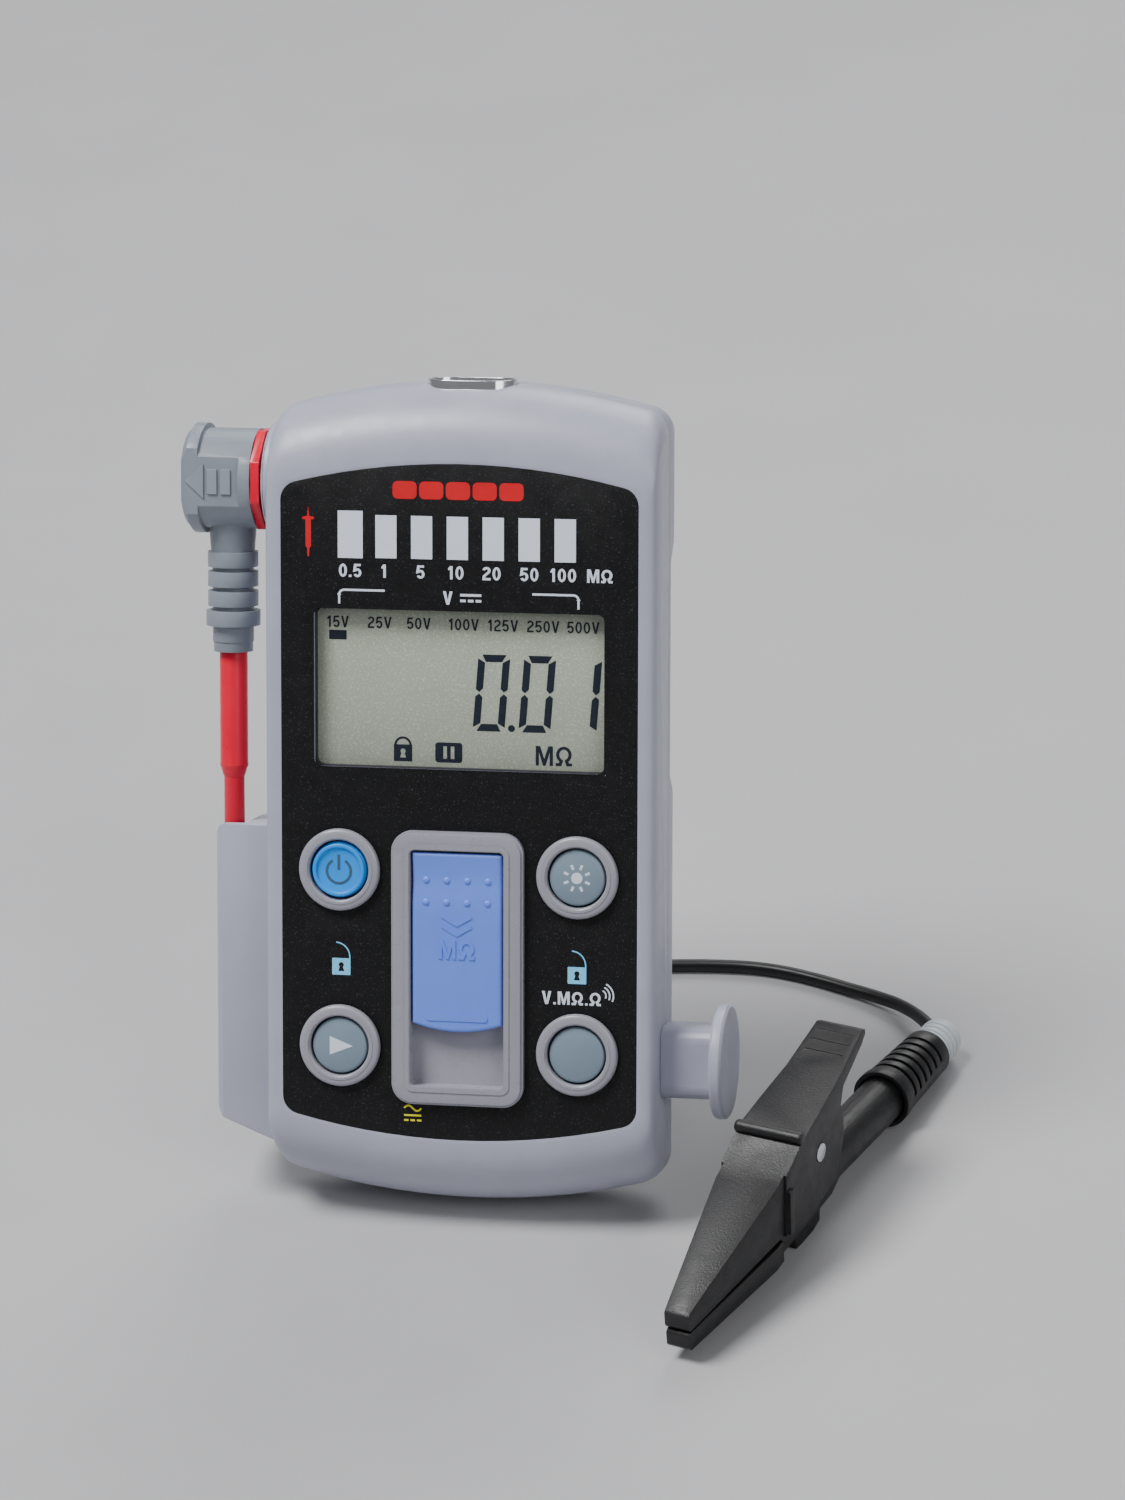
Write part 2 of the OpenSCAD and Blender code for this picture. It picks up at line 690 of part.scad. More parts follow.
module plug_grip() {
    color([0.1, 0.1, 0.11]) clip_place() difference() {
        union() {
            on_tube(73.2, 75, 4.95);
            on_tube(74.9, 91, 4.7, 4.1);
        }
        on_tube(72, 80.5, 4.25);
        for (i = [0:5]) difference() {
            on_tube(76.4 + 2.2 * i, 77.2 + 2.2 * i, 6);
            on_tube(76 + 2.2 * i, 78 + 2.2 * i, 4.15 - 0.08 * i);
            translate([2.6, 70, -2]) cube([6, 30, 7]);
        }
    }
}

module clip_lower_jaw() {
    color([0.12, 0.12, 0.13]) clip_place() difference() {
        union() {
            hull() {
                across(-2, 2) polygon([[0, 3], [0.5, 2.4], [2, 2.4], [2, 5.5], [0.4, 5.5], [0, 5]]);
                across(-5.2, 5.2) polygon([[24, 3.4], [26.5, 3.6], [26.5, 7.4], [24, 7.2]]);
            }
            across(-4.1, 4.1) polygon([[25, 3.6], [46, 4.2], [50, 6], [50, 10.4], [46, 13], [44, 17],
                [42, 19],
                [38.8, 19], [36.8, 17], [34, 11], [25, 7.2]]);
            across(-3, 3) polygon([[35, 0.2], [37, 0], [41, 0], [43.4, 0.6], [44, 5], [34, 5]]);
            on_tube(tube_s, 80.4, tube_r);
        }
        across(-1.9, 1.9) polygon([[3, 4.6], [22, 6.2], [22, 9], [3, 7]]);
        translate([-6, hinge_s, hinge_z]) rotate([0, 90, 0]) cylinder(h = 12, r = 1.55);
        across(-2.4, 2.4) polygon([[34, 11.5], [47, 13.5], [47, 21], [33, 21]]);
    }
}

module clip_upper_jaw() {
    color([0.12, 0.12, 0.13]) clip_place() difference() {
        union() {
            hull() {
                across(-2.1, 2.1) polygon([[0, 6.4], [0.4, 5.9], [2, 5.9], [2, 9.4], [0.6, 9.2], [0, 8.6]]);
                across(-5.2, 5.2) polygon([[25, 8.2], [27, 8.3], [28, 18.6], [25, 17.6]]);
            }
            across(-5.7, 5.7) polygon([[26.9, 8], [28.6, 7.2], [36, 6.6], [46.4, 7.4], [50, 12.6],
                [50.4, 16], [49.6, 19], [51, 21.6], [59.6, 24.6], [61, 25.6], [61, 26.4], [59.8, 26.9],
                [50, 24.2], [41, 22.8], [34.4, 21.6], [28, 18.6]]);
            hull() {
                for (s = [-1, 1]) translate([s * 5.2, 34, 21.8]) sphere(r = 1.1, $fn = 16);
            }
            for (s = [-1, 1]) across(s * 5.9 - 0.4, s * 5.9 + 0.4)
                polygon([[27.2, 8.2], [28.8, 8], [29.4, 15.6], [27.8, 15.6]]);
        }
        across(-4.5, 4.5) polygon([[26.6, 6], [52, 6], [52.4, 19], [49.2, 22.2], [40, 21.2], [35, 20.1],
            [26.6, 16.4]]);
        across(-1.9, 1.9) polygon([[3, 5], [22, 7], [22, 9.4], [3, 7.2]]);
        translate([-8, hinge_s, hinge_z]) rotate([0, 90, 0]) cylinder(h = 16, r = 1.6);
        for (s = [-1, 1]) translate([s * 7.6, 30, 20]) rotate([0, 0, s * 4]) cube([3, 70, 30], center = true);
        for (i = [0:2]) across(-3.4, 3.4) translate([53.4 + 2.2 * i, 25.2 + 0.62 * i]) square([0.6, 2]);
    }
}

// A strip of saw teeth between the jaws; side 1 points up, -1 down.
module teeth(side, base, slope) {
    pitch = 1.15;
    count = 15;
    depth = 0.7;
    points = concat(
        [[3.4, base - side * depth], [3.4, base]],
        [for (i = [0:count - 1]) each [[3.6 + i * pitch, base + i * pitch * slope],
            [3.6 + (i + 0.5) * pitch, base + side * 0.45 + (i + 0.5) * pitch * slope]]],
        [[21.4, base + 17.8 * slope], [21.4, base + 17.8 * slope - side * depth]]);
    color([0.85, 0.85, 0.87]) clip_place() across(-1.8, 1.8) polygon(points);
}

module lower_teeth() teeth(1, 5.4, 0.085);
module upper_teeth() teeth(-1, 6.45, 0.105);

module clip_pivot() {
    color([0.8, 0.8, 0.82]) clip_place() translate([-5.6, hinge_s, hinge_z]) rotate([0, 90, 0])
        cylinder(h = 11.2, r = 1.5);
}

module clip_spring() {
    color([0.7, 0.7, 0.72]) clip_place() translate([0, hinge_s, hinge_z]) rotate([0, 90, 0]) {
        for (i = [-2:2]) translate([0, 0, 0.85 * i]) rotate_extrude() translate([2.2, 0])
            circle(r = 0.4, $fn = 24);
    }
}

front_case();
rear_case();
front_panel();
window_lens();
lcd_frame();
lcd_glass();
backlight_panel();
zebra_strips();
main_board();
processor_chip();
converter_transformer();
high_voltage_capacitor();
buzzer();
tact_switches();
test_switch();
power_rim();
light_rim();
hold_rim();
mode_rim();
power_button();
light_button();
hold_button();
mode_button();
test_key_rim();
test_key();
torch_reflector();
torch_led();
line_boss();
line_socket();
plug_collar();
plug_pin();
elbow_housing();
probe_sleeve();
probe_tip();
probe_holder();
clip_peg();
battery_left();
battery_right();
battery_contacts();
battery_cover();
cover_screw();
case_screws();
tilt_stand();
stand_pin();
cord_grommet();
earth_cord();
earth_cord_coil();
cord_cap();
plug_grip();
clip_lower_jaw();
clip_upper_jaw();
lower_teeth();
upper_teeth();
clip_pivot();
clip_spring();
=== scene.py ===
"""Looks for the pocket insulation resistance tester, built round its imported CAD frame."""
import json
import math

import bmesh
import bpy
from mathutils import Matrix, Vector


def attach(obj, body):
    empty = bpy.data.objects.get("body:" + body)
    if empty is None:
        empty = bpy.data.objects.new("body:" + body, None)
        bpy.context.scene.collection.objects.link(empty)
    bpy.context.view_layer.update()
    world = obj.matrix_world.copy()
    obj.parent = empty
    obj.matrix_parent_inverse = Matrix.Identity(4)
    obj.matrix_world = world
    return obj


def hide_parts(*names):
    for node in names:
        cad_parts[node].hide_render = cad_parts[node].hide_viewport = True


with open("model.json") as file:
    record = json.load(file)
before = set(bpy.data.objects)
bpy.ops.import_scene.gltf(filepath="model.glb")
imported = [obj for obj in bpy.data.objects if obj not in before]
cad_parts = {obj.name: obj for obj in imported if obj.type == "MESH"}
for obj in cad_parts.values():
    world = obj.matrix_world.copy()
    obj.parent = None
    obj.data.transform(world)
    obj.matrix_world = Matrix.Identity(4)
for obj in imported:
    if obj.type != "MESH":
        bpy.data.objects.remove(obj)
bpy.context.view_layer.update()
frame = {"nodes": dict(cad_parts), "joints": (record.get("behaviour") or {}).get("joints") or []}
NODES = frame["nodes"]
JOINTS = {joint["name"]: joint for joint in frame["joints"]}
MM = 0.001

# The case's own axes, taken from the joints: u across its front, w into it, v up it.
U_AXIS = Vector((1, 0, 0))
W_AXIS = Vector(JOINTS["power_press"]["axis"]).normalized()
V_AXIS = -Vector(JOINTS["test_slide"]["axis"]).normalized()
LINE_U, LINE_W, LINE_V = -38, 10, 48.2
LINE_REACH = LINE_U * U_AXIS + LINE_W * W_AXIS + LINE_V * V_AXIS
CASE_ORIGIN = Vector(JOINTS["probe_swing"]["pos_m"]) - MM * LINE_REACH


def case_matrix(second, third):
    """Turns millimetres along u and two more of the case's axes into metres in the row frame."""
    turn = Matrix((U_AXIS, second, third)).transposed().to_4x4()
    return Matrix.Translation(CASE_ORIGIN) @ turn @ Matrix.Scale(MM, 4)


FACE = case_matrix(V_AXIS, -W_AXIS)

# Camera

AZIMUTH, ELEVATION, ROLL = 13.26, 28.0, -4.55
CAMERA_AT = CASE_ORIGIN + MM * Vector((195.1, -754.1, 420.2))
SENSOR_MM, FOCAL_MM = 36, 134.4

camera = bpy.data.objects.new("camera", bpy.data.cameras.new("camera"))
bpy.context.scene.collection.objects.link(camera)
bpy.context.scene.camera = camera
camera.data.sensor_width = SENSOR_MM
camera.data.lens = FOCAL_MM
az, el = math.radians(AZIMUTH), math.radians(ELEVATION)
look = Vector((-math.sin(az) * math.cos(el), math.cos(az) * math.cos(el), -math.sin(el)))
camera.location = CAMERA_AT
camera.rotation_mode = "QUATERNION"
roll = Matrix.Rotation(math.radians(ROLL), 4, "Z").to_quaternion()
camera.rotation_quaternion = look.to_track_quat("-Z", "Y") @ roll
camera.data.clip_start, camera.data.clip_end = 0.05, 20

# Building blocks

SEAM, SHARP_ANGLE = 2e-6, math.radians(30)


def link(name, mesh, mat, body="tester", place=None, smooth=True):
    """A mesh drawn in millimetres, put in its place in the row frame and carried by a body."""
    if place is not None:
        mesh.transform(place)
    mesh.name = name
    mesh.materials.clear()
    mesh.materials.append(mat)
    for face in mesh.polygons:
        face.use_smooth = smooth
    o = bpy.data.objects.new(name, mesh)
    bpy.context.scene.collection.objects.link(o)
    if body:
        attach(o, body)
    return o


def arc(cx, cy, r, start, end, steps=24):
    turns = [math.radians(start + (end - start) * i / steps) for i in range(steps + 1)]
    return [(cx + r * math.cos(a), cy + r * math.sin(a)) for a in turns]


def round_rect(x0, y0, x1, y1, r, steps=6):
    corners = [(x1 - r, y1 - r, 0), (x0 + r, y1 - r, 90), (x0 + r, y0 + r, 180), (x1 - r, y0 + r, 270)]
    return [p for cx, cy, a in corners for p in arc(cx, cy, r, a, a + 90, steps)]


def box(x0, y0, x1, y1):
    return [(x0, y0), (x1, y0), (x1, y1), (x0, y1)]


def stroke(points, width):
    """The outline of an open line of that width."""
    left, right = [], []
    for i, p in enumerate(points):
        a, b = points[max(i - 1, 0)], points[min(i + 1, len(points) - 1)]
        before = Vector((p[0] - a[0], p[1] - a[1])) if i else Vector((b[0] - p[0], b[1] - p[1]))
        after = Vector((b[0] - p[0], b[1] - p[1])) if i < len(points) - 1 else before
        before, after = before.normalized(), after.normalized()
        across = Vector((-(before + after).y, (before + after).x)).normalized()
        reach = width / 2 / max(across.dot(Vector((-before.y, before.x))), 0.5)
        left.append((p[0] + across.x * reach, p[1] + across.y * reach))
        right.append((p[0] - across.x * reach, p[1] - across.y * reach))
    return left + right[::-1]


def flat(outlines, low, high):
    """A plate from height low to high. An outline inside another is a hole."""
    curve = bpy.data.curves.new("flat", "CURVE")
    curve.dimensions, curve.fill_mode, curve.extrude = "2D", "BOTH", (high - low) / 2
    for points in outlines:
        spline = curve.splines.new("POLY")
        spline.points.add(len(points) - 1)
        for point, (x, y) in zip(spline.points, points):
            point.co = (x, y, 0, 1)
        spline.use_cyclic_u = True
    holder = bpy.data.objects.new("flat", curve)
    mesh = bpy.data.meshes.new_from_object(holder)
    bpy.data.objects.remove(holder)
    mesh.transform(Matrix.Translation((0, 0, (low + high) / 2)))
    return mesh


def oval(cx, cy, rx, ry, start, end, steps=28):
    return [(cx + rx * x, cy + ry * y) for x, y in arc(0, 0, 1, start, end, steps)]


def sign_shape(char, t):
    """Width and outlines of one figure or unit sign, one unit high, with lines t thick."""
    h = low = t / 2
    top = 1 - low
    if char == "0":
        return 0.54, [oval(0.27, 0.5, 0.27, 0.5, 0, 350), oval(0.27, 0.5, 0.27 - t, 0.5 - t, 0, 350)]
    if char == "1":
        return 0.36, [[(0.3, 0), (0.3 - t, 0), (0.3 - t, 0.7), (0, 0.7), (0, 0.82), (0.3 - t, 1), (0.3, 1)]]
    if char == "2":
        line = oval(0.27, 0.72, 0.27 - h, 0.28 - h, 170, -35) + [(h + 0.02, 0.3), (h, low), (0.54, low)]
        return 0.54, [stroke(line, t)]
    if char == "5":
        line = [(0.5, top), (0.13, top), (0.08, 0.5)] + oval(0.27, 0.33, 0.27 - h, 0.33 - h, 125, -155)
        return 0.54, [stroke(line, t)]
    if char == "V":
        return 0.64, [[(0, 1), (1.15 * t, 1), (0.32, 0.3), (0.64 - 1.15 * t, 1), (0.64, 1),
                       (0.32 + 0.55 * t, 0), (0.32 - 0.55 * t, 0)]]
    if char == "M":
        return 0.8, [[(0, 0), (0, 1), (1.4 * t, 1), (0.4, 0.34), (0.8 - 1.4 * t, 1), (0.8, 1), (0.8, 0),
                      (0.8 - t, 0), (0.8 - t, 0.68), (0.4 + 0.4 * t, 0), (0.4 - 0.4 * t, 0), (t, 0.68),
                      (t, 0)]]
    if char == "Ω":
        bowl = oval(0.38, 0.58, 0.36 - h, 0.42 - h, 245, -65)
        return 0.76, [stroke([(0, low), (0.2, low)] + bowl + [(0.56, low), (0.76, low)], t)]
    return t, [box(0, 0, t, t)]


def lettering(word, height, x, y, low, high, stretch=1.15, t=0.17):
    """Numbers or unit signs, centred at (x, y)."""
    space = 0.13
    shapes = [sign_shape(char, t) for char in word]
    total = sum(width for width, _ in shapes) + space * (len(shapes) - 1)
    start, meshes = -total / 2, []
    for width, outlines in shapes:
        placed = [[(x + (start + px) * height * stretch, y + (py - 0.5) * height) for px, py in outline]
                  for outline in outlines]
        meshes.append(flat(placed, low, high))
        start += width + space
    return meshes


def outward(name, points, faces):
    """A mesh whose faces all look outward."""
    mesh = bpy.data.meshes.new(name)
    mesh.from_pydata(points, [], faces)
    bm = bmesh.new()
    bm.from_mesh(mesh)
    bmesh.ops.recalc_face_normals(bm, faces=bm.faces)
    bm.to_mesh(mesh)
    bm.free()
    return mesh


def joined(meshes):
    bm = bmesh.new()
    for mesh in meshes:
        bm.from_mesh(mesh)
        bpy.data.meshes.remove(mesh)
    bmesh.ops.remove_doubles(bm, verts=bm.verts, dist=1e-5)
    out = bpy.data.meshes.new("joined")
    bm.to_mesh(out)
    bm.free()
    return out


def loft(rings):
    """A closed skin through rings of the same number of points, with both ends capped."""
    count = len(rings[0])
    points = [p for ring in rings for p in ring]
    faces = []
    for i in range(len(rings) - 1):
        for k in range(count):
            n = (k + 1) % count
            faces.append((i * count + k, i * count + n, (i + 1) * count + n, (i + 1) * count + k))
    faces.append(tuple(range(count))[::-1])
    faces.append(tuple(range((len(rings) - 1) * count, len(rings) * count)))
    return outward("loft", points, faces)


def turned(profile, steps):
    """A profile of (radius, height) turned about Z."""
    rings = [[(r * math.cos(2 * math.pi * k / steps), r * math.sin(2 * math.pi * k / steps), h)
              for k in range(steps)] for r, h in profile]
    return loft(rings)


def rounded(o, width_mm, segments=3):
    """Rounds the sharp edges of a piece and keeps its flat faces flat in the light."""
    weld = o.modifiers.new("weld", "WELD")
    weld.merge_threshold = SEAM
    bevel = o.modifiers.new("round", "BEVEL")
    bevel.width, bevel.segments = width_mm * MM, segments
    bevel.limit_method, bevel.angle_limit = "ANGLE", SHARP_ANGLE
    bevel.harden_normals = True
    bevel.use_clamp_overlap = True
    for face in o.data.polygons:
        face.use_smooth = True


# Materials

def rgb(r, g, b):
    """Colour from its usual 0 to 255 screen values."""
    parts = [c / 255 for c in (r, g, b)]
    return tuple(c / 12.92 if c < 0.0404 else ((c + 0.055) / 1.055) ** 2.4 for c in parts) + (1,)


def noise(tree, size_mm, detail=3.0):
    coords = tree.nodes.new("ShaderNodeTexCoord")
    tex = tree.nodes.new("ShaderNodeTexNoise")
    tex.inputs["Scale"].default_value = 1000 / size_mm
    tex.inputs["Detail"].default_value = detail
    tree.links.new(coords.outputs["Object"], tex.inputs["Vector"])
    return tex.outputs["Fac"]


def ramp(tree, value, low, high, to_low, to_high):
    node = tree.nodes.new("ShaderNodeMapRange")
    for key, number in (("From Min", low), ("From Max", high), ("To Min", to_low), ("To Max", to_high)):
        node.inputs[key].default_value = number
    tree.links.new(value, node.inputs["Value"])
    return node.outputs["Result"]


def mix(tree, factor, a, b):
    node = tree.nodes.new("ShaderNodeMix")
    node.data_type = "RGBA"
    tree.links.new(factor, node.inputs["Factor"])
    for socket, colour in ((node.inputs[6], a), (node.inputs[7], b)):
        if isinstance(colour, tuple):
            socket.default_value = colour
        else:
            tree.links.new(colour, socket)
    return node.outputs[2]


def finish(name, colour, rough, metal=0.0, mottle=0.06, patch_mm=9, grain_mm=0.35, grain=0.25,
           fleck=None, fleck_share=0.66, fleck_mm=0.25, coat=0.0, alpha=1.0, spec=0.5, edge_glint=0.0):
    """Slow colour drift and fine grain in the relief, and where asked flecks and a painted highlight along
    the sharp edges.
    """
    mat = bpy.data.materials.new(name)
    mat.use_nodes = True
    tree = mat.node_tree
    bsdf = tree.nodes["Principled BSDF"]
    darker = tuple(c * (1 - mottle) for c in colour[:3]) + (1,)
    lighter = tuple(min(1, c * (1 + mottle)) for c in colour[:3]) + (1,)
    shade = mix(tree, ramp(tree, noise(tree, patch_mm), 0.35, 0.65, 0, 1), darker, lighter)
    if fleck:
        spots = ramp(tree, noise(tree, fleck_mm, 1.0), fleck_share, fleck_share + 0.06, 0, 1)
        shade = mix(tree, spots, shade, fleck)
    # Painted highlight: sharp convex edges, found by pointiness, are lightened as if they caught the light.
    if edge_glint:
        geometry = tree.nodes.new("ShaderNodeNewGeometry")
        edge = ramp(tree, geometry.outputs["Pointiness"], 0.52, 0.6, 0, edge_glint)
        glint_colour = tuple(min(1, c * 1.6 + 0.05) for c in colour[:3]) + (1,)
        shade = mix(tree, edge, shade, glint_colour)
    tree.links.new(shade, bsdf.inputs["Base Color"])
    sheen = ramp(tree, noise(tree, patch_mm / 4), 0.3, 0.7, rough - 0.05, rough + 0.05)
    tree.links.new(sheen, bsdf.inputs["Roughness"])
    bump = tree.nodes.new("ShaderNodeBump")
    bump.inputs["Strength"].default_value = grain
    bump.inputs["Distance"].default_value = 0.06 * MM
    tree.links.new(noise(tree, grain_mm, 2.0), bump.inputs["Height"])
    tree.links.new(bump.outputs["Normal"], bsdf.inputs["Normal"])
    bsdf.inputs["Metallic"].default_value = metal
    bsdf.inputs["Specular IOR Level"].default_value = spec
    bsdf.inputs["Coat Weight"].default_value = coat
    bsdf.inputs["Coat Roughness"].default_value = 0.12
    bsdf.inputs["Alpha"].default_value = alpha
    return mat


FINISHES = {
    # The case grey carries a painted highlight on its sharp edges.
    "case_grey": dict(colour=rgb(166, 168, 184), rough=0.38, mottle=0.03, grain_mm=0.28, grain=0.2,
                      edge_glint=0.25),
    # The panel's light flecks are painted glints, standing in for the sparkle of its black face.
    "panel_black": dict(colour=rgb(6, 6, 8), rough=0.48, mottle=0.15, grain_mm=0.2, grain=0.4,
                        fleck=rgb(46, 46, 54), fleck_share=0.64, fleck_mm=0.26, spec=0.35),
    "clear_window": dict(colour=rgb(40, 44, 42), rough=0.05, mottle=0.01, grain=0.02, alpha=0.03),
    # The glass's lighter flecks are painted glints, standing in for its slight sparkle.
    "display_glass": dict(colour=rgb(166, 174, 158), rough=0.4, mottle=0.04, patch_mm=14, grain_mm=0.3,
                          grain=0.1, fleck=rgb(190, 196, 180), fleck_share=0.56, fleck_mm=0.28),
    "white_plastic": dict(colour=rgb(222, 226, 222), rough=0.5),
    "dark_plastic": dict(colour=rgb(54, 54, 60), rough=0.58, grain_mm=0.35, grain=0.5),
    "zebra_rubber": dict(colour=rgb(205, 130, 140), rough=0.7, fleck=rgb(60, 40, 45), fleck_mm=0.3),
    "board_green": dict(colour=rgb(18, 84, 50), rough=0.35, mottle=0.12, patch_mm=3,
                        fleck=rgb(60, 130, 90)),
    "capacitor_red": dict(colour=rgb(160, 36, 26), rough=0.3, coat=0.4),
    "rim_grey": dict(colour=rgb(150, 150, 160), rough=0.3, mottle=0.015, grain_mm=0.25, grain=0.06),
    "power_blue": dict(colour=rgb(10, 148, 244), rough=0.36, mottle=0.03, grain=0.12),
    "button_grey": dict(colour=rgb(120, 138, 152), rough=0.42, mottle=0.03, grain=0.16),
    "key_blue": dict(colour=rgb(104, 138, 240), rough=0.38, mottle=0.025, grain=0.1),
    "torch_chrome": dict(colour=rgb(226, 226, 230), rough=0.16, metal=1.0, mottle=0.02, grain=0.04),
    "led_clear": dict(colour=rgb(240, 240, 226), rough=0.08, mottle=0.02, grain=0.03, coat=0.6,
                      alpha=0.85),
    "contact_brass": dict(colour=rgb(205, 168, 92), rough=0.28, metal=1.0, mottle=0.05, grain=0.08),
    "probe_red": dict(colour=rgb(220, 0, 48), rough=0.32, mottle=0.05, grain=0.1),
    # The elbow grey also carries a painted highlight on its sharp edges.
    "elbow_grey": dict(colour=rgb(128, 136, 146), rough=0.42, mottle=0.04, grain_mm=0.25, grain=0.2,
                       edge_glint=0.25),
    "bright_metal": dict(colour=rgb(205, 205, 210), rough=0.25, metal=1.0, mottle=0.05, grain=0.1),
    "cell_wrap": dict(colour=rgb(30, 42, 58), rough=0.25, coat=0.5),
    "screw_steel": dict(colour=rgb(150, 150, 156), rough=0.32, metal=1.0, mottle=0.06, grain=0.15),
    "cord_black": dict(colour=rgb(14, 14, 16), rough=0.4, mottle=0.12, grain_mm=0.4, grain=0.18),
    "cap_grey": dict(colour=rgb(196, 203, 208), rough=0.45, mottle=0.03, grain=0.16),
    "clip_black": dict(colour=rgb(10, 10, 12), rough=0.46, mottle=0.1, grain_mm=0.3, grain=0.8,
                       fleck=rgb(28, 28, 32), fleck_share=0.6, fleck_mm=0.3),
    "print_white": dict(colour=rgb(216, 224, 238), rough=0.5, mottle=0.02, grain=0.1),
    "print_blue": dict(colour=rgb(120, 206, 246), rough=0.5, mottle=0.02, grain=0.1),
    "print_red": dict(colour=rgb(208, 0, 22), rough=0.5, mottle=0.03, grain=0.1),
    "print_yellow": dict(colour=rgb(236, 232, 20), rough=0.5, mottle=0.03, grain=0.1),
    "print_dark": dict(colour=rgb(60, 88, 112), rough=0.5, mottle=0.03, grain=0.1),
    "display_ink": dict(colour=rgb(16, 26, 42), rough=0.45, mottle=0.04, grain=0.05),
}
LOOKS = {name: finish(name, **settings) for name, settings in FINISHES.items()}
NODE_LOOKS = {
    "case_grey": ["front_case", "rear_case", "line_boss", "probe_holder", "clip_peg", "battery_cover"],
    "panel_black": ["front_panel"],
    "clear_window": ["window_lens"],
    "display_glass": ["lcd_glass"],
    "white_plastic": ["backlight_panel"],
    "dark_plastic": ["lcd_frame", "processor_chip", "converter_transformer", "buzzer", "tact_switches",
                     "test_switch", "tilt_stand"],
    "zebra_rubber": ["zebra_strips"],
    "board_green": ["main_board"],
    "capacitor_red": ["high_voltage_capacitor"],
    "rim_grey": ["power_rim", "light_rim", "hold_rim", "mode_rim", "test_key_rim"],
    "power_blue": ["power_button"],
    "button_grey": ["light_button", "hold_button", "mode_button"],
    "key_blue": ["test_key"],
    "torch_chrome": ["torch_reflector"],
    "led_clear": ["torch_led"],
    "contact_brass": ["line_socket", "plug_pin"],
    "probe_red": ["plug_collar", "probe_sleeve"],
    "elbow_grey": ["elbow_housing"],
    "bright_metal": ["probe_tip", "lower_teeth", "upper_teeth", "clip_pivot", "clip_spring",
                     "battery_contacts"],
    "cell_wrap": ["battery_left", "battery_right"],
    "screw_steel": ["cover_screw", "case_screws", "stand_pin"],
    "cord_black": ["earth_cord", "earth_cord_coil", "cord_grommet"],
    "cap_grey": ["cord_cap"],
    "clip_black": ["plug_grip", "clip_lower_jaw", "clip_upper_jaw"],
}
EDGE_ROUNDING = {"front_case": 0.15, "rear_case": 0.2, "test_key_rim": 0.5, "power_rim": 0.15,
                 "light_rim": 0.15, "hold_rim": 0.15, "mode_rim": 0.15, "clip_upper_jaw": 0.5,
                 "clip_lower_jaw": 0.45, "elbow_housing": 0.3, "probe_holder": 0.4, "clip_peg": 0.35,
                 "line_boss": 0.3, "plug_grip": 0.2, "cord_cap": 0.2, "plug_collar": 0.25,
                 "battery_cover": 0.2, "test_key": 0.25, "window_lens": 0.15, "front_panel": 0.05}
FLAT_SHADED = ("tilt_stand",)
PLAIN_ROUNDING = 0.1
for look, names in NODE_LOOKS.items():
    for name in names:
        node = NODES[name]
        node.data.materials.clear()
        node.data.materials.append(LOOKS[look])
        if name not in FLAT_SHADED:
            rounded(node, EDGE_ROUNDING.get(name, PLAIN_ROUNDING))

# The earth cord. Its route repeats the CAD's, in millimetres from the floor point under the case's middle.

CORD_D = 0.0022
LEAD_IN = [(-14.5, 0.4, 19.3), (-14.5, 3.4, 18.2), (-14.5, 5.9, 17.25), (-14.5, 9.4, 16.6),
           (-14.5, 13.4, 16.1), (-14.9, 17.6, 15.9), (-16.3, 21.8, 15.8), (-19, 25.4, 15.8),
           (-22.6, 27.6, 15.8), (-26.8, 28.2, 15.8)]
LEAD_OUT = [(-26.8, 54.2, 1.2), (-21.2, 54.6, 1.2), (-15.2, 55.8, 1.2), (-8.2, 57.8, 1.2), (-1.2, 59.6, 1.2),
            (5.8, 60.9, 1.2), (12.8, 61.6, 1.2), (18.8, 62.1, 1.2), (25.8, 62.6, 1.2), (32.8, 62.5, 1.2),
            (38.8, 61.4, 1.2), (44.8, 59.3, 1.2), (50.8, 56.5, 1.3), (55.8, 53.8, 1.6), (60.3, 50.4, 2.2),
            (63.8, 46.2, 3), (66.4, 42, 3.7), (68.2, 38.6, 4)]
COIL_X, COIL_Y, COIL_R, COIL_TURNS, COIL_TOP, COIL_LOW = -26.8, 41.2, 13, 6.5, 15.8, 1.2
FLOOR_ORIGIN = Vector((CASE_ORIGIN.x, CASE_ORIGIN.y, 0))
TURN_STEPS = 32


def coil_points():
    steps = int(COIL_TURNS * TURN_STEPS)
    for i in range(1, steps):
        a = -math.pi / 2 - 2 * math.pi * COIL_TURNS * i / steps
        z = COIL_TOP + (COIL_LOW - COIL_TOP) * i / steps
        yield (COIL_X + COIL_R * math.cos(a), COIL_Y + COIL_R * math.sin(a), z)


def eased(points, steps=6):
    """A smooth line through every point."""
    out = []
    for i in range(len(points) - 1):
        p = [Vector(points[min(max(i + k, 0), len(points) - 1)]) for k in (-1, 0, 1, 2)]
        for k in range(steps):
            t = k / steps
            out.append(0.5 * (2 * p[1] + (p[2] - p[0]) * t + (2 * p[0] - 5 * p[1] + 4 * p[2] - p[3]) * t * t
                              + (3 * p[1] - p[0] - 3 * p[2] + p[3]) * t ** 3))
    return out + [Vector(points[-1])]


def tube_curve(name, points, radius, mat):
    curve = bpy.data.curves.new(name, "CURVE")
    curve.dimensions, curve.bevel_depth, curve.bevel_resolution, curve.use_fill_caps = "3D", radius, 4, True
    spline = curve.splines.new("POLY")
    spline.points.add(len(points) - 1)
    for point, p in zip(spline.points, points):
        point.co = (*p, 1)
    curve.materials.append(mat)
    o = bpy.data.objects.new(name, curve)
    bpy.context.scene.collection.objects.link(o)
    return o


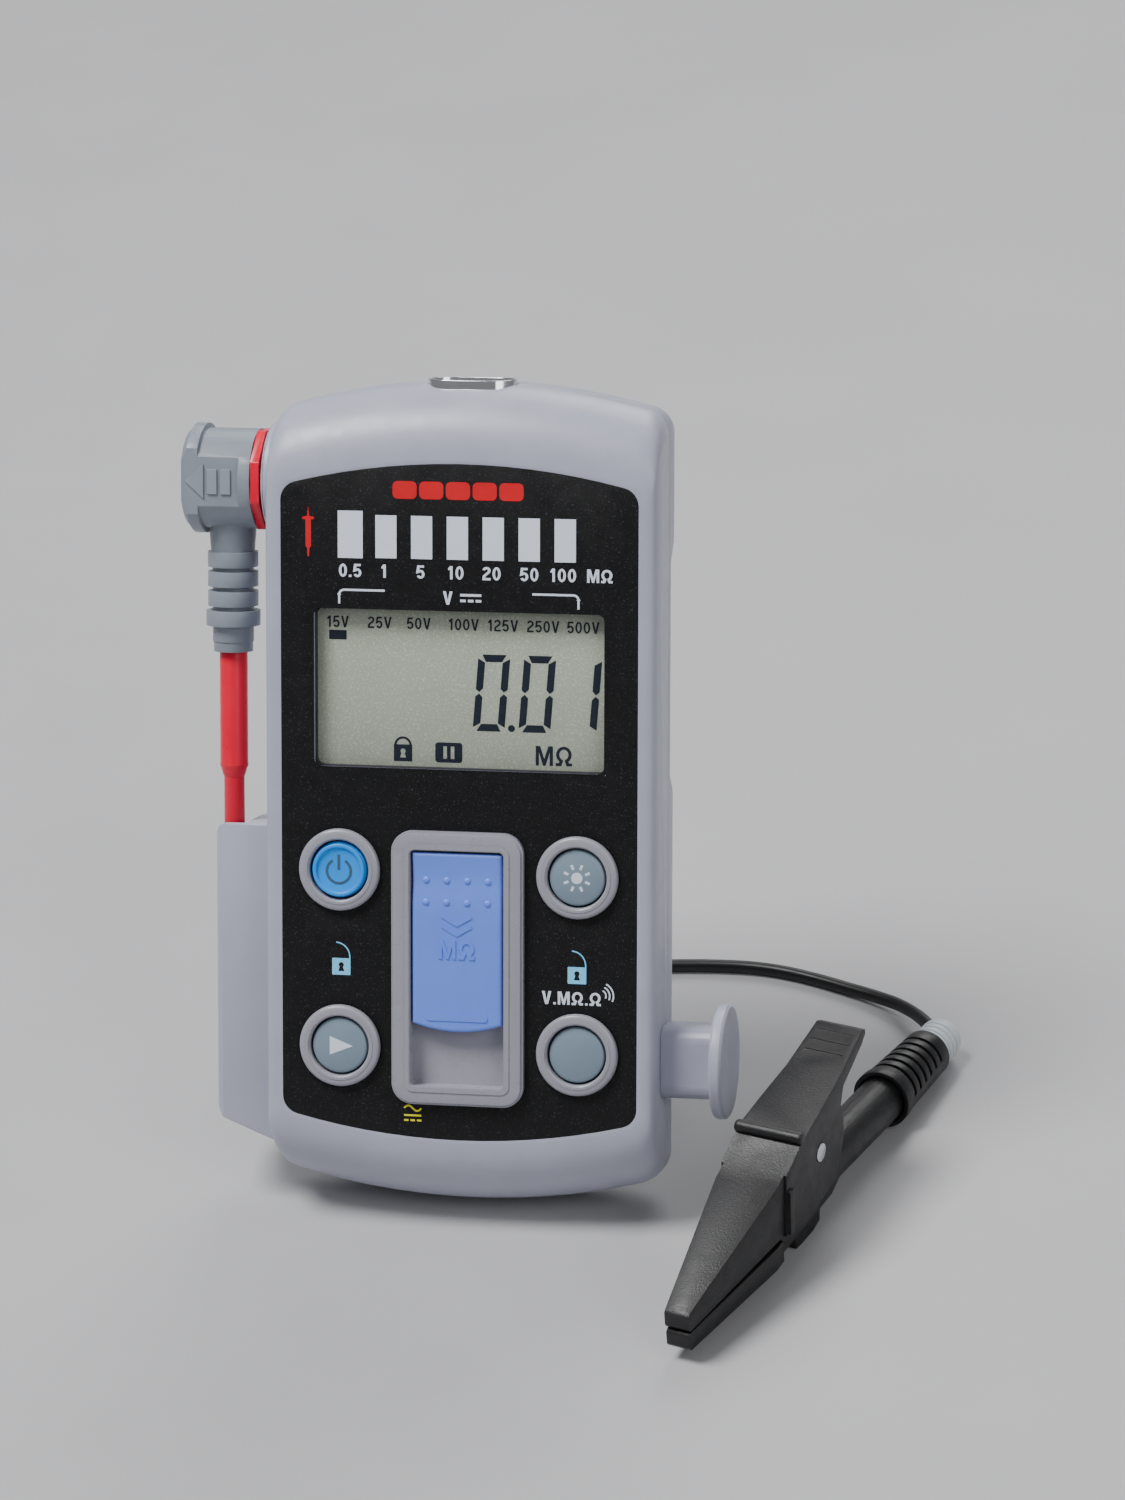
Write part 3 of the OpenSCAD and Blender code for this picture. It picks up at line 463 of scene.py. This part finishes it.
route = eased(LEAD_IN) + [Vector(p) for p in coil_points()] + eased(LEAD_OUT)
route = [FLOOR_ORIGIN + MM * p for p in route]
cord = tube_curve("earth_lead", route, CORD_D / 2, LOOKS["cord_black"])
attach(cord, "tester")
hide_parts("earth_cord", "earth_cord_coil")

# A strap tie holds the coil's turns together.

TIE_ANGLE, TIE_HALF = math.radians(200), 2.5


def tie_loop(beside, low, above, r):
    return round_rect(COIL_R - beside, low, COIL_R + beside, COIL_TOP + above, r)


tie = flat([tie_loop(1.45, 0.02, 1.45, 0.9), tie_loop(1.1, 0.3, 1.1, 0.6)], -TIE_HALF, TIE_HALF)
stand_up = Matrix.Rotation(math.radians(90), 4, "X") @ Matrix.Scale(MM, 4)
tie_place = Matrix.Translation(FLOOR_ORIGIN + MM * Vector((COIL_X, COIL_Y, 0)))
tie_place = tie_place @ Matrix.Rotation(TIE_ANGLE, 4, "Z") @ stand_up
coil_tie = link("coil_tie", tie, LOOKS["dark_plastic"], place=tie_place)
rounded(coil_tie, 0.12)

# Printing on the front panel, as thin raised ink.

INK_LOW, INK_TOP = -0.02, 0.03
WINDOW_V = 16.2


def ink(name, meshes, look):
    link(name, joined(meshes), LOOKS[look], place=FACE, smooth=False)


BAR_PITCH = 5.77
bars = [box(-19.5, 36.85, -15.45, 44.35)]
bars += [box(-13.4 + BAR_PITCH * i, 36.95, -9.98 + BAR_PITCH * i, 43.75) for i in range(6)]
bracket_left = [(-19.3, 29.6), (-19.3, 31)] + arc(-18.5, 31, 0.8, 180, 90, 6) + [(-11.9, 31.8)]
bracket_right = [(-x, y) for x, y in bracket_left]
BRACKET_LINE = 0.34
white = [flat([outline], INK_LOW, INK_TOP) for outline in
         bars + [stroke(bracket_left, BRACKET_LINE), stroke(bracket_right, BRACKET_LINE)]]
SCALE = [("0.5", -17.5), ("1", -12.0), ("5", -6.1), ("10", -0.4), ("20", 5.35), ("50", 11.4), ("100", 16.85),
         ("MΩ", 22.7)]
SIGN_HEIGHT, SCALE_V, VOLT_V, UNITS_V = 2.1, 34.9, 30.9, -32.3
for word, x in SCALE:
    white += lettering(word, SIGN_HEIGHT, x, SCALE_V, INK_LOW, INK_TOP)
white += lettering("V", SIGN_HEIGHT, -1.7, VOLT_V, INK_LOW, INK_TOP)
white += [flat([box(0.3, 31.2, 3.7, 31.6)], INK_LOW, INK_TOP)]
white += [flat([box(0.3 + 1.25 * i, 30.3, 1.2 + 1.25 * i, 30.7)], INK_LOW, INK_TOP) for i in range(3)]
white += lettering("V.MΩ.Ω", SIGN_HEIGHT, 18.3, UNITS_V, INK_LOW, INK_TOP)
SOUND_RADII = (0.9, 1.5, 2.1)
white += [flat([stroke(arc(23, -31.7, r, -25, 65, 8), 0.24)], INK_LOW, INK_TOP) for r in SOUND_RADII]
ink("panel_print_white", white, "print_white")


def padlock(x, y, open_shackle=True, low=INK_LOW, top=INK_TOP):
    """A padlock whose body is centred at (x, y)."""
    hole = arc(x, y + 0.28, 0.42, -50, 230, 16) + [(x - 0.5, y - 0.75), (x + 0.5, y - 0.75)]
    parts = [flat([round_rect(x - 1.5, y - 1.35, x + 1.5, y + 1.35, 0.12), hole], low, top)]
    if open_shackle:
        swung = [(x + 1.42, y + 1.3)] + arc(x - 0.9, y + 1.6, 2.3, 10, 88, 10)
        parts.append(flat([stroke(swung, 0.2)], low, top))
    else:
        parts.append(flat([stroke(arc(x, y + 1.2, 1.25, 0, 180, 12), 0.36)], low, top))
    return parts


LOCK_V = -28.6
ink("panel_print_blue", padlock(-19.15, LOCK_V) + padlock(19.2, LOCK_V), "print_blue")
probe_sign = [(-24.3, 45), (-24.12, 43.4), (-23.35, 43.2), (-23.35, 42.9), (-23.85, 42.8), (-23.85, 38.6),
              (-24.1, 38.3), (-24.15, 37), (-24.45, 37), (-24.5, 38.3), (-24.75, 38.6), (-24.75, 42.8),
              (-25.25, 42.9), (-25.25, 43.2), (-24.48, 43.4)]
red = [flat([probe_sign], INK_LOW, INK_TOP)]
for left in (-10.6 + 4.3 * i for i in range(5)):
    red.append(flat([round_rect(left, 46.4, left + 3.9, 49.2, 0.8)], INK_LOW, INK_TOP))
ink("panel_print_red", red, "print_red")
wave = [(-8.9 + 0.1 * i, -51.1 + 0.42 * math.sin(2 * math.pi * i / 28)) for i in range(29)]
yellow = [flat([stroke(wave, 0.28)], INK_LOW, INK_TOP)]
yellow += [flat([box(-8.9, -52.4, -6.1, -52.12)], INK_LOW, INK_TOP)]
yellow += [flat([box(-8.9 + 1.05 * i, -53.2, -8.2 + 1.05 * i, -52.92)], INK_LOW, INK_TOP) for i in range(3)]
ink("panel_print_yellow", yellow, "print_yellow")

# Display segments, on the front of the glass.

GLASS = -2.4
SEG_LOW, SEG_TOP = GLASS - 0.02, GLASS + 0.03
DIGIT_W, DIGIT_H, DIGIT_T, DIGIT_PITCH, SHEAR = 5.15, 12.2, 1.16, 7.4, 0.08
DIGIT_U, DIGIT_V = 1.75, 9.6


def digit(x, y, segments):
    """A seven-segment figure, as a list of plates."""
    w, h, t, g = DIGIT_W, DIGIT_H, DIGIT_T, 0.12
    mid = h / 2
    shapes = {
        "a": [(g + 0.5, h), (w - g - 0.5, h), (w - t - g, h - t), (t + g, h - t)],
        "d": [(g + 0.5, 0), (t + g, t), (w - t - g, t), (w - g - 0.5, 0)],
        "f": [(0, h - g - 0.5), (t, h - t - g), (t, mid + t / 2 + g), (t / 2, mid + g), (0, mid + t / 2)],
        "e": [(0, g + 0.5), (0, mid - t / 2), (t / 2, mid - g), (t, mid - t / 2 - g), (t, t + g)],
        "b": [(w, h - g - 0.5), (w, mid + t / 2), (w - t / 2, mid + g), (w - t, mid + t / 2 + g),
              (w - t, h - t - g)],
        "c": [(w, g + 0.5), (w - t, t + g), (w - t, mid - t / 2 - g), (w - t / 2, mid - g), (w, mid - t / 2)],
    }
    leaning = [[(x + px + SHEAR * py, y + py) for px, py in shapes[s]] for s in segments]
    return [flat([outline], SEG_LOW, SEG_TOP) for outline in leaning]


segments = digit(DIGIT_U, DIGIT_V, "abcdef") + digit(DIGIT_U + DIGIT_PITCH, DIGIT_V, "abcdef")
segments += digit(DIGIT_U + 2 * DIGIT_PITCH, DIGIT_V, "bc")
segments += [flat([arc(8.05, 10.15, 0.56, 0, 345, 23)], SEG_LOW, SEG_TOP)]
VOLTS = [("15V", -20.1), ("25V", -13.3), ("50V", -6.95), ("100V", 0.35), ("125V", 6.7), ("250V", 13.15),
         ("500V", 19.6)]
for word, x in VOLTS:
    segments += lettering(word, 1.85, x, 26.45, SEG_LOW, SEG_TOP, 1.06, 0.15)
segments += [flat([box(-21.55, 23.6, -18.7, 25.1)], SEG_LOW, SEG_TOP)]
segments += padlock(-9.55, 5.75, False, SEG_LOW, SEG_TOP)
segments += [flat([round_rect(-4.3, 4.4, 0.1, 7.6, 0.5), box(-3, 5, -2.4, 7), box(-1.8, 5, -1.2, 7)],
                  SEG_LOW, SEG_TOP)]
segments += lettering("MΩ", 3.1, 14.9, 5.95, SEG_LOW, SEG_TOP, 1.12, 0.15)
link("display_segments", joined(segments), LOOKS["display_ink"], place=FACE,
     smooth=False)

# Dark border round the window, printed in front, and the dark liner behind the clear window.

def window_rect(width, height, r):
    return round_rect(-width / 2, WINDOW_V - height / 2, width / 2, WINDOW_V + height / 2, r)


border = flat([window_rect(47.6, 25.9, 0.7), window_rect(46.9, 25.2, 1.1)], -0.02, 0.02)
link("window_border", border, LOOKS["panel_black"], place=FACE, smooth=False)
liner = flat([window_rect(47.26, 25.56, 0.4), window_rect(46.8, 25.1, 1.1)], -2.36, -1.54)
link("window_liner", liner, LOOKS["dark_plastic"], place=FACE, smooth=False)

# The sliding test key: a dished cap with raised grip dots and unit signs.

KEY_HALF, KEY_TOP_V, KEY_LEN, KEY_BOW, KEY_FACE = 7.3, -9.6, 28.7, 22, 1.32


def key_height(x, v):
    """Height of the key's face above the front plane."""
    down = KEY_TOP_V - v
    lip = 0.13 * math.exp(-(down / 0.9) ** 2)
    dish = 0.34 * math.exp(-((down - 4.2) / 2.9) ** 2)
    return KEY_FACE + lip - dish - 0.05 * (x / KEY_HALF) ** 2


def key_cap():
    columns, rows, edge = 36, 72, 0.55
    grid = []
    for i in range(columns + 1):
        x = -KEY_HALF * math.cos(math.pi * i / columns)
        foot = KEY_TOP_V - KEY_LEN + KEY_BOW - math.sqrt(KEY_BOW ** 2 - x ** 2)
        line = []
        for k in range(rows + 1):
            v = KEY_TOP_V + (foot - KEY_TOP_V) * (1 - math.cos(math.pi * k / rows)) / 2
            inset = min(KEY_HALF - abs(x), KEY_TOP_V - v, v - foot)
            t = max(0.0, 1 - inset / edge)
            line.append((x, v, key_height(x, v) - edge * (1 - math.sqrt(max(0.0, 1 - t * t)))))
        grid.append(line)
    points = [p for line in grid for p in line]
    count = rows + 1
    faces = [(i * count + k, i * count + k + 1, (i + 1) * count + k + 1, (i + 1) * count + k)
             for i in range(columns) for k in range(rows)]
    rim = [i * count for i in range(columns + 1)] + [columns * count + k for k in range(1, count)]
    rim += [i * count + rows for i in range(columns - 1, -1, -1)] + [k for k in range(rows - 1, 0, -1)]
    base = len(points)
    points += [(points[k][0], points[k][1], -0.98) for k in rim]
    size = len(rim)
    faces += [(rim[k], rim[(k + 1) % size], base + (k + 1) % size, base + k) for k in range(size)]
    faces.append(tuple(base + k for k in range(size)))
    return outward("key", points, faces)


def dome(x, v, r, tall):
    """A low round bump standing on the key's face."""
    turns = [math.radians(a) for a in (0, 20, 40, 60, 75, 86)]
    mesh = turned([(r * math.cos(a), tall * math.sin(a)) for a in turns], 20)
    mesh.transform(Matrix.Translation((x, v, key_height(x, v) - 0.12)))
    return mesh


DOT_COLUMNS, DOT_ROWS = (-5, -1.67, 1.67, 5), (4.4, 7.9)
key_parts = [key_cap()]
key_parts += [dome(x, KEY_TOP_V - down, 0.62, 0.42) for x in DOT_COLUMNS for down in DOT_ROWS]
key_piece = link("test_key_cap", joined(key_parts), LOOKS["key_blue"], body="test_slider",
                 place=FACE)
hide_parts("test_key")
emboss = lettering("MΩ", 3, 0, -25, KEY_FACE - 0.1, KEY_FACE + 0.16, 1.15, 0.16)
for v in (-20.3, -21.9):
    chevron = stroke([(-2.4, v + 0.7), (0, v - 0.7), (2.4, v + 0.7)], 0.5)
    emboss.append(flat([chevron], KEY_FACE - 0.2, KEY_FACE + 0.14))
emboss += [flat([round_rect(-5, -36.5, 5, -35.3, 0.5)], KEY_FACE - 0.1, KEY_FACE + 0.12)]
link("test_key_signs", joined(emboss), LOOKS["key_blue"], body="test_slider", place=FACE,
     smooth=False)

# Raised signs on the elbow's flat: a triangle and two bars.

SIGN_LOW, SIGN_TOP = -3.0, -2.65
signs = [[(-45.2, LINE_V), (-42.2, LINE_V + 2.75), (-42.2, LINE_V - 2.75)]]
signs += [box(x, LINE_V - 2, x + 1.6, LINE_V + 2) for x in (-41.6, -39.4)]
signs = [flat([outline], SIGN_LOW, SIGN_TOP) for outline in signs]
elbow_signs = link("elbow_signs", joined(signs), LOOKS["elbow_grey"], body="line_probe",
                   place=FACE)
rounded(elbow_signs, 0.05, 2)

# Raised lips round the openings of the button rims and of the test-key tray.

BUTTON_U, BUTTON_TOP, BUTTON_LOW = 19.3, -12.9, -41.3
lips = []
for u in (-BUTTON_U, BUTTON_U):
    for v in (BUTTON_TOP, BUTTON_LOW):
        lips.append(flat([arc(u, v, 5.5, 0, 357, 119), arc(u, v, 5.12, 0, 357, 119)], 1.15, 1.3))
tray_lip = [round_rect(-8.5, -48.1, 8.5, -8.3, 1.4), round_rect(-7.75, -47.35, 7.75, -9.05, 0.9)]
lips.append(flat(tray_lip, 1.45, 1.65))
rim_lips = link("rim_lips", joined(lips), LOOKS["rim_grey"], place=FACE)
rounded(rim_lips, 0.06, 2)

# Signs on the button caps. The fourth button is blank.

CAP_TOP = 0.8
sign_low, sign_top = CAP_TOP - 0.02, CAP_TOP + 0.03
power_sign = [stroke(arc(-BUTTON_U, BUTTON_TOP - 0.2, 1.95, 122, 418, 40), 0.42),
              box(-BUTTON_U - 0.22, BUTTON_TOP, -BUTTON_U + 0.22, BUTTON_TOP + 2.45)]
link("power_sign", joined([flat([s], sign_low, sign_top) for s in power_sign]), LOOKS["print_dark"],
     body="power_key", place=FACE, smooth=False)
sun = [arc(BUTTON_U, BUTTON_TOP, 0.9, 0, 350, 35)]
for i in range(8):
    turn = math.radians(22.5 + 45 * i)
    reach = Vector((math.cos(turn), math.sin(turn)))
    sun.append(stroke([(BUTTON_U + reach.x * r, BUTTON_TOP + reach.y * r) for r in (1.45, 2.25)], 0.42))
link("light_sign", joined([flat([s], sign_low, sign_top) for s in sun]), LOOKS["print_white"],
     body="light_key", place=FACE, smooth=False)
play = [(-BUTTON_U - 1.6, BUTTON_LOW + 1.5), (-BUTTON_U - 1.6, BUTTON_LOW - 1.5),
        (-BUTTON_U + 2.2, BUTTON_LOW)]
link("hold_sign", flat([play], sign_low, sign_top), LOOKS["print_white"], body="hold_key",
     place=FACE, smooth=False)

# Floor and light

def light(name, at, aim, size, power):
    lamp = bpy.data.lights.new(name, "AREA")
    lamp.shape, lamp.size, lamp.energy = "DISK", size, power
    o = bpy.data.objects.new(name, lamp)
    o.location = at
    o.rotation_euler = (Vector(aim) - Vector(at)).to_track_quat("-Z", "Y").to_euler()
    bpy.context.scene.collection.objects.link(o)


floor_look = finish("floor", rgb(178, 178, 180), 0.6, mottle=0.02, patch_mm=60, grain_mm=2, grain=0.05)
floor_mesh = bpy.data.meshes.new("floor")
FLOOR = 3
floor_mesh.from_pydata([(-FLOOR, -FLOOR, 0), (FLOOR, -FLOOR, 0), (FLOOR, FLOOR, 0), (-FLOOR, FLOOR, 0)], [],
                       [(0, 1, 2, 3)])
link("floor", floor_mesh, floor_look, body=None)
light("key", (-0.5, -0.2, 1.2), (0, 0, 0.05), 0.55, 20)
light("fill", (0.9, -0.7, 0.8), (0, 0, 0.05), 0.8, 5)
light("back", (0.15, 1.1, 0.9), (0, 0, 0.05), 0.8, 8)
world = bpy.data.worlds.new("world")
bpy.context.scene.world = world
world.use_nodes = True
world.node_tree.nodes["Background"].inputs["Color"].default_value = (0.78, 0.79, 0.82, 1)
world.node_tree.nodes["Background"].inputs["Strength"].default_value = 0.3
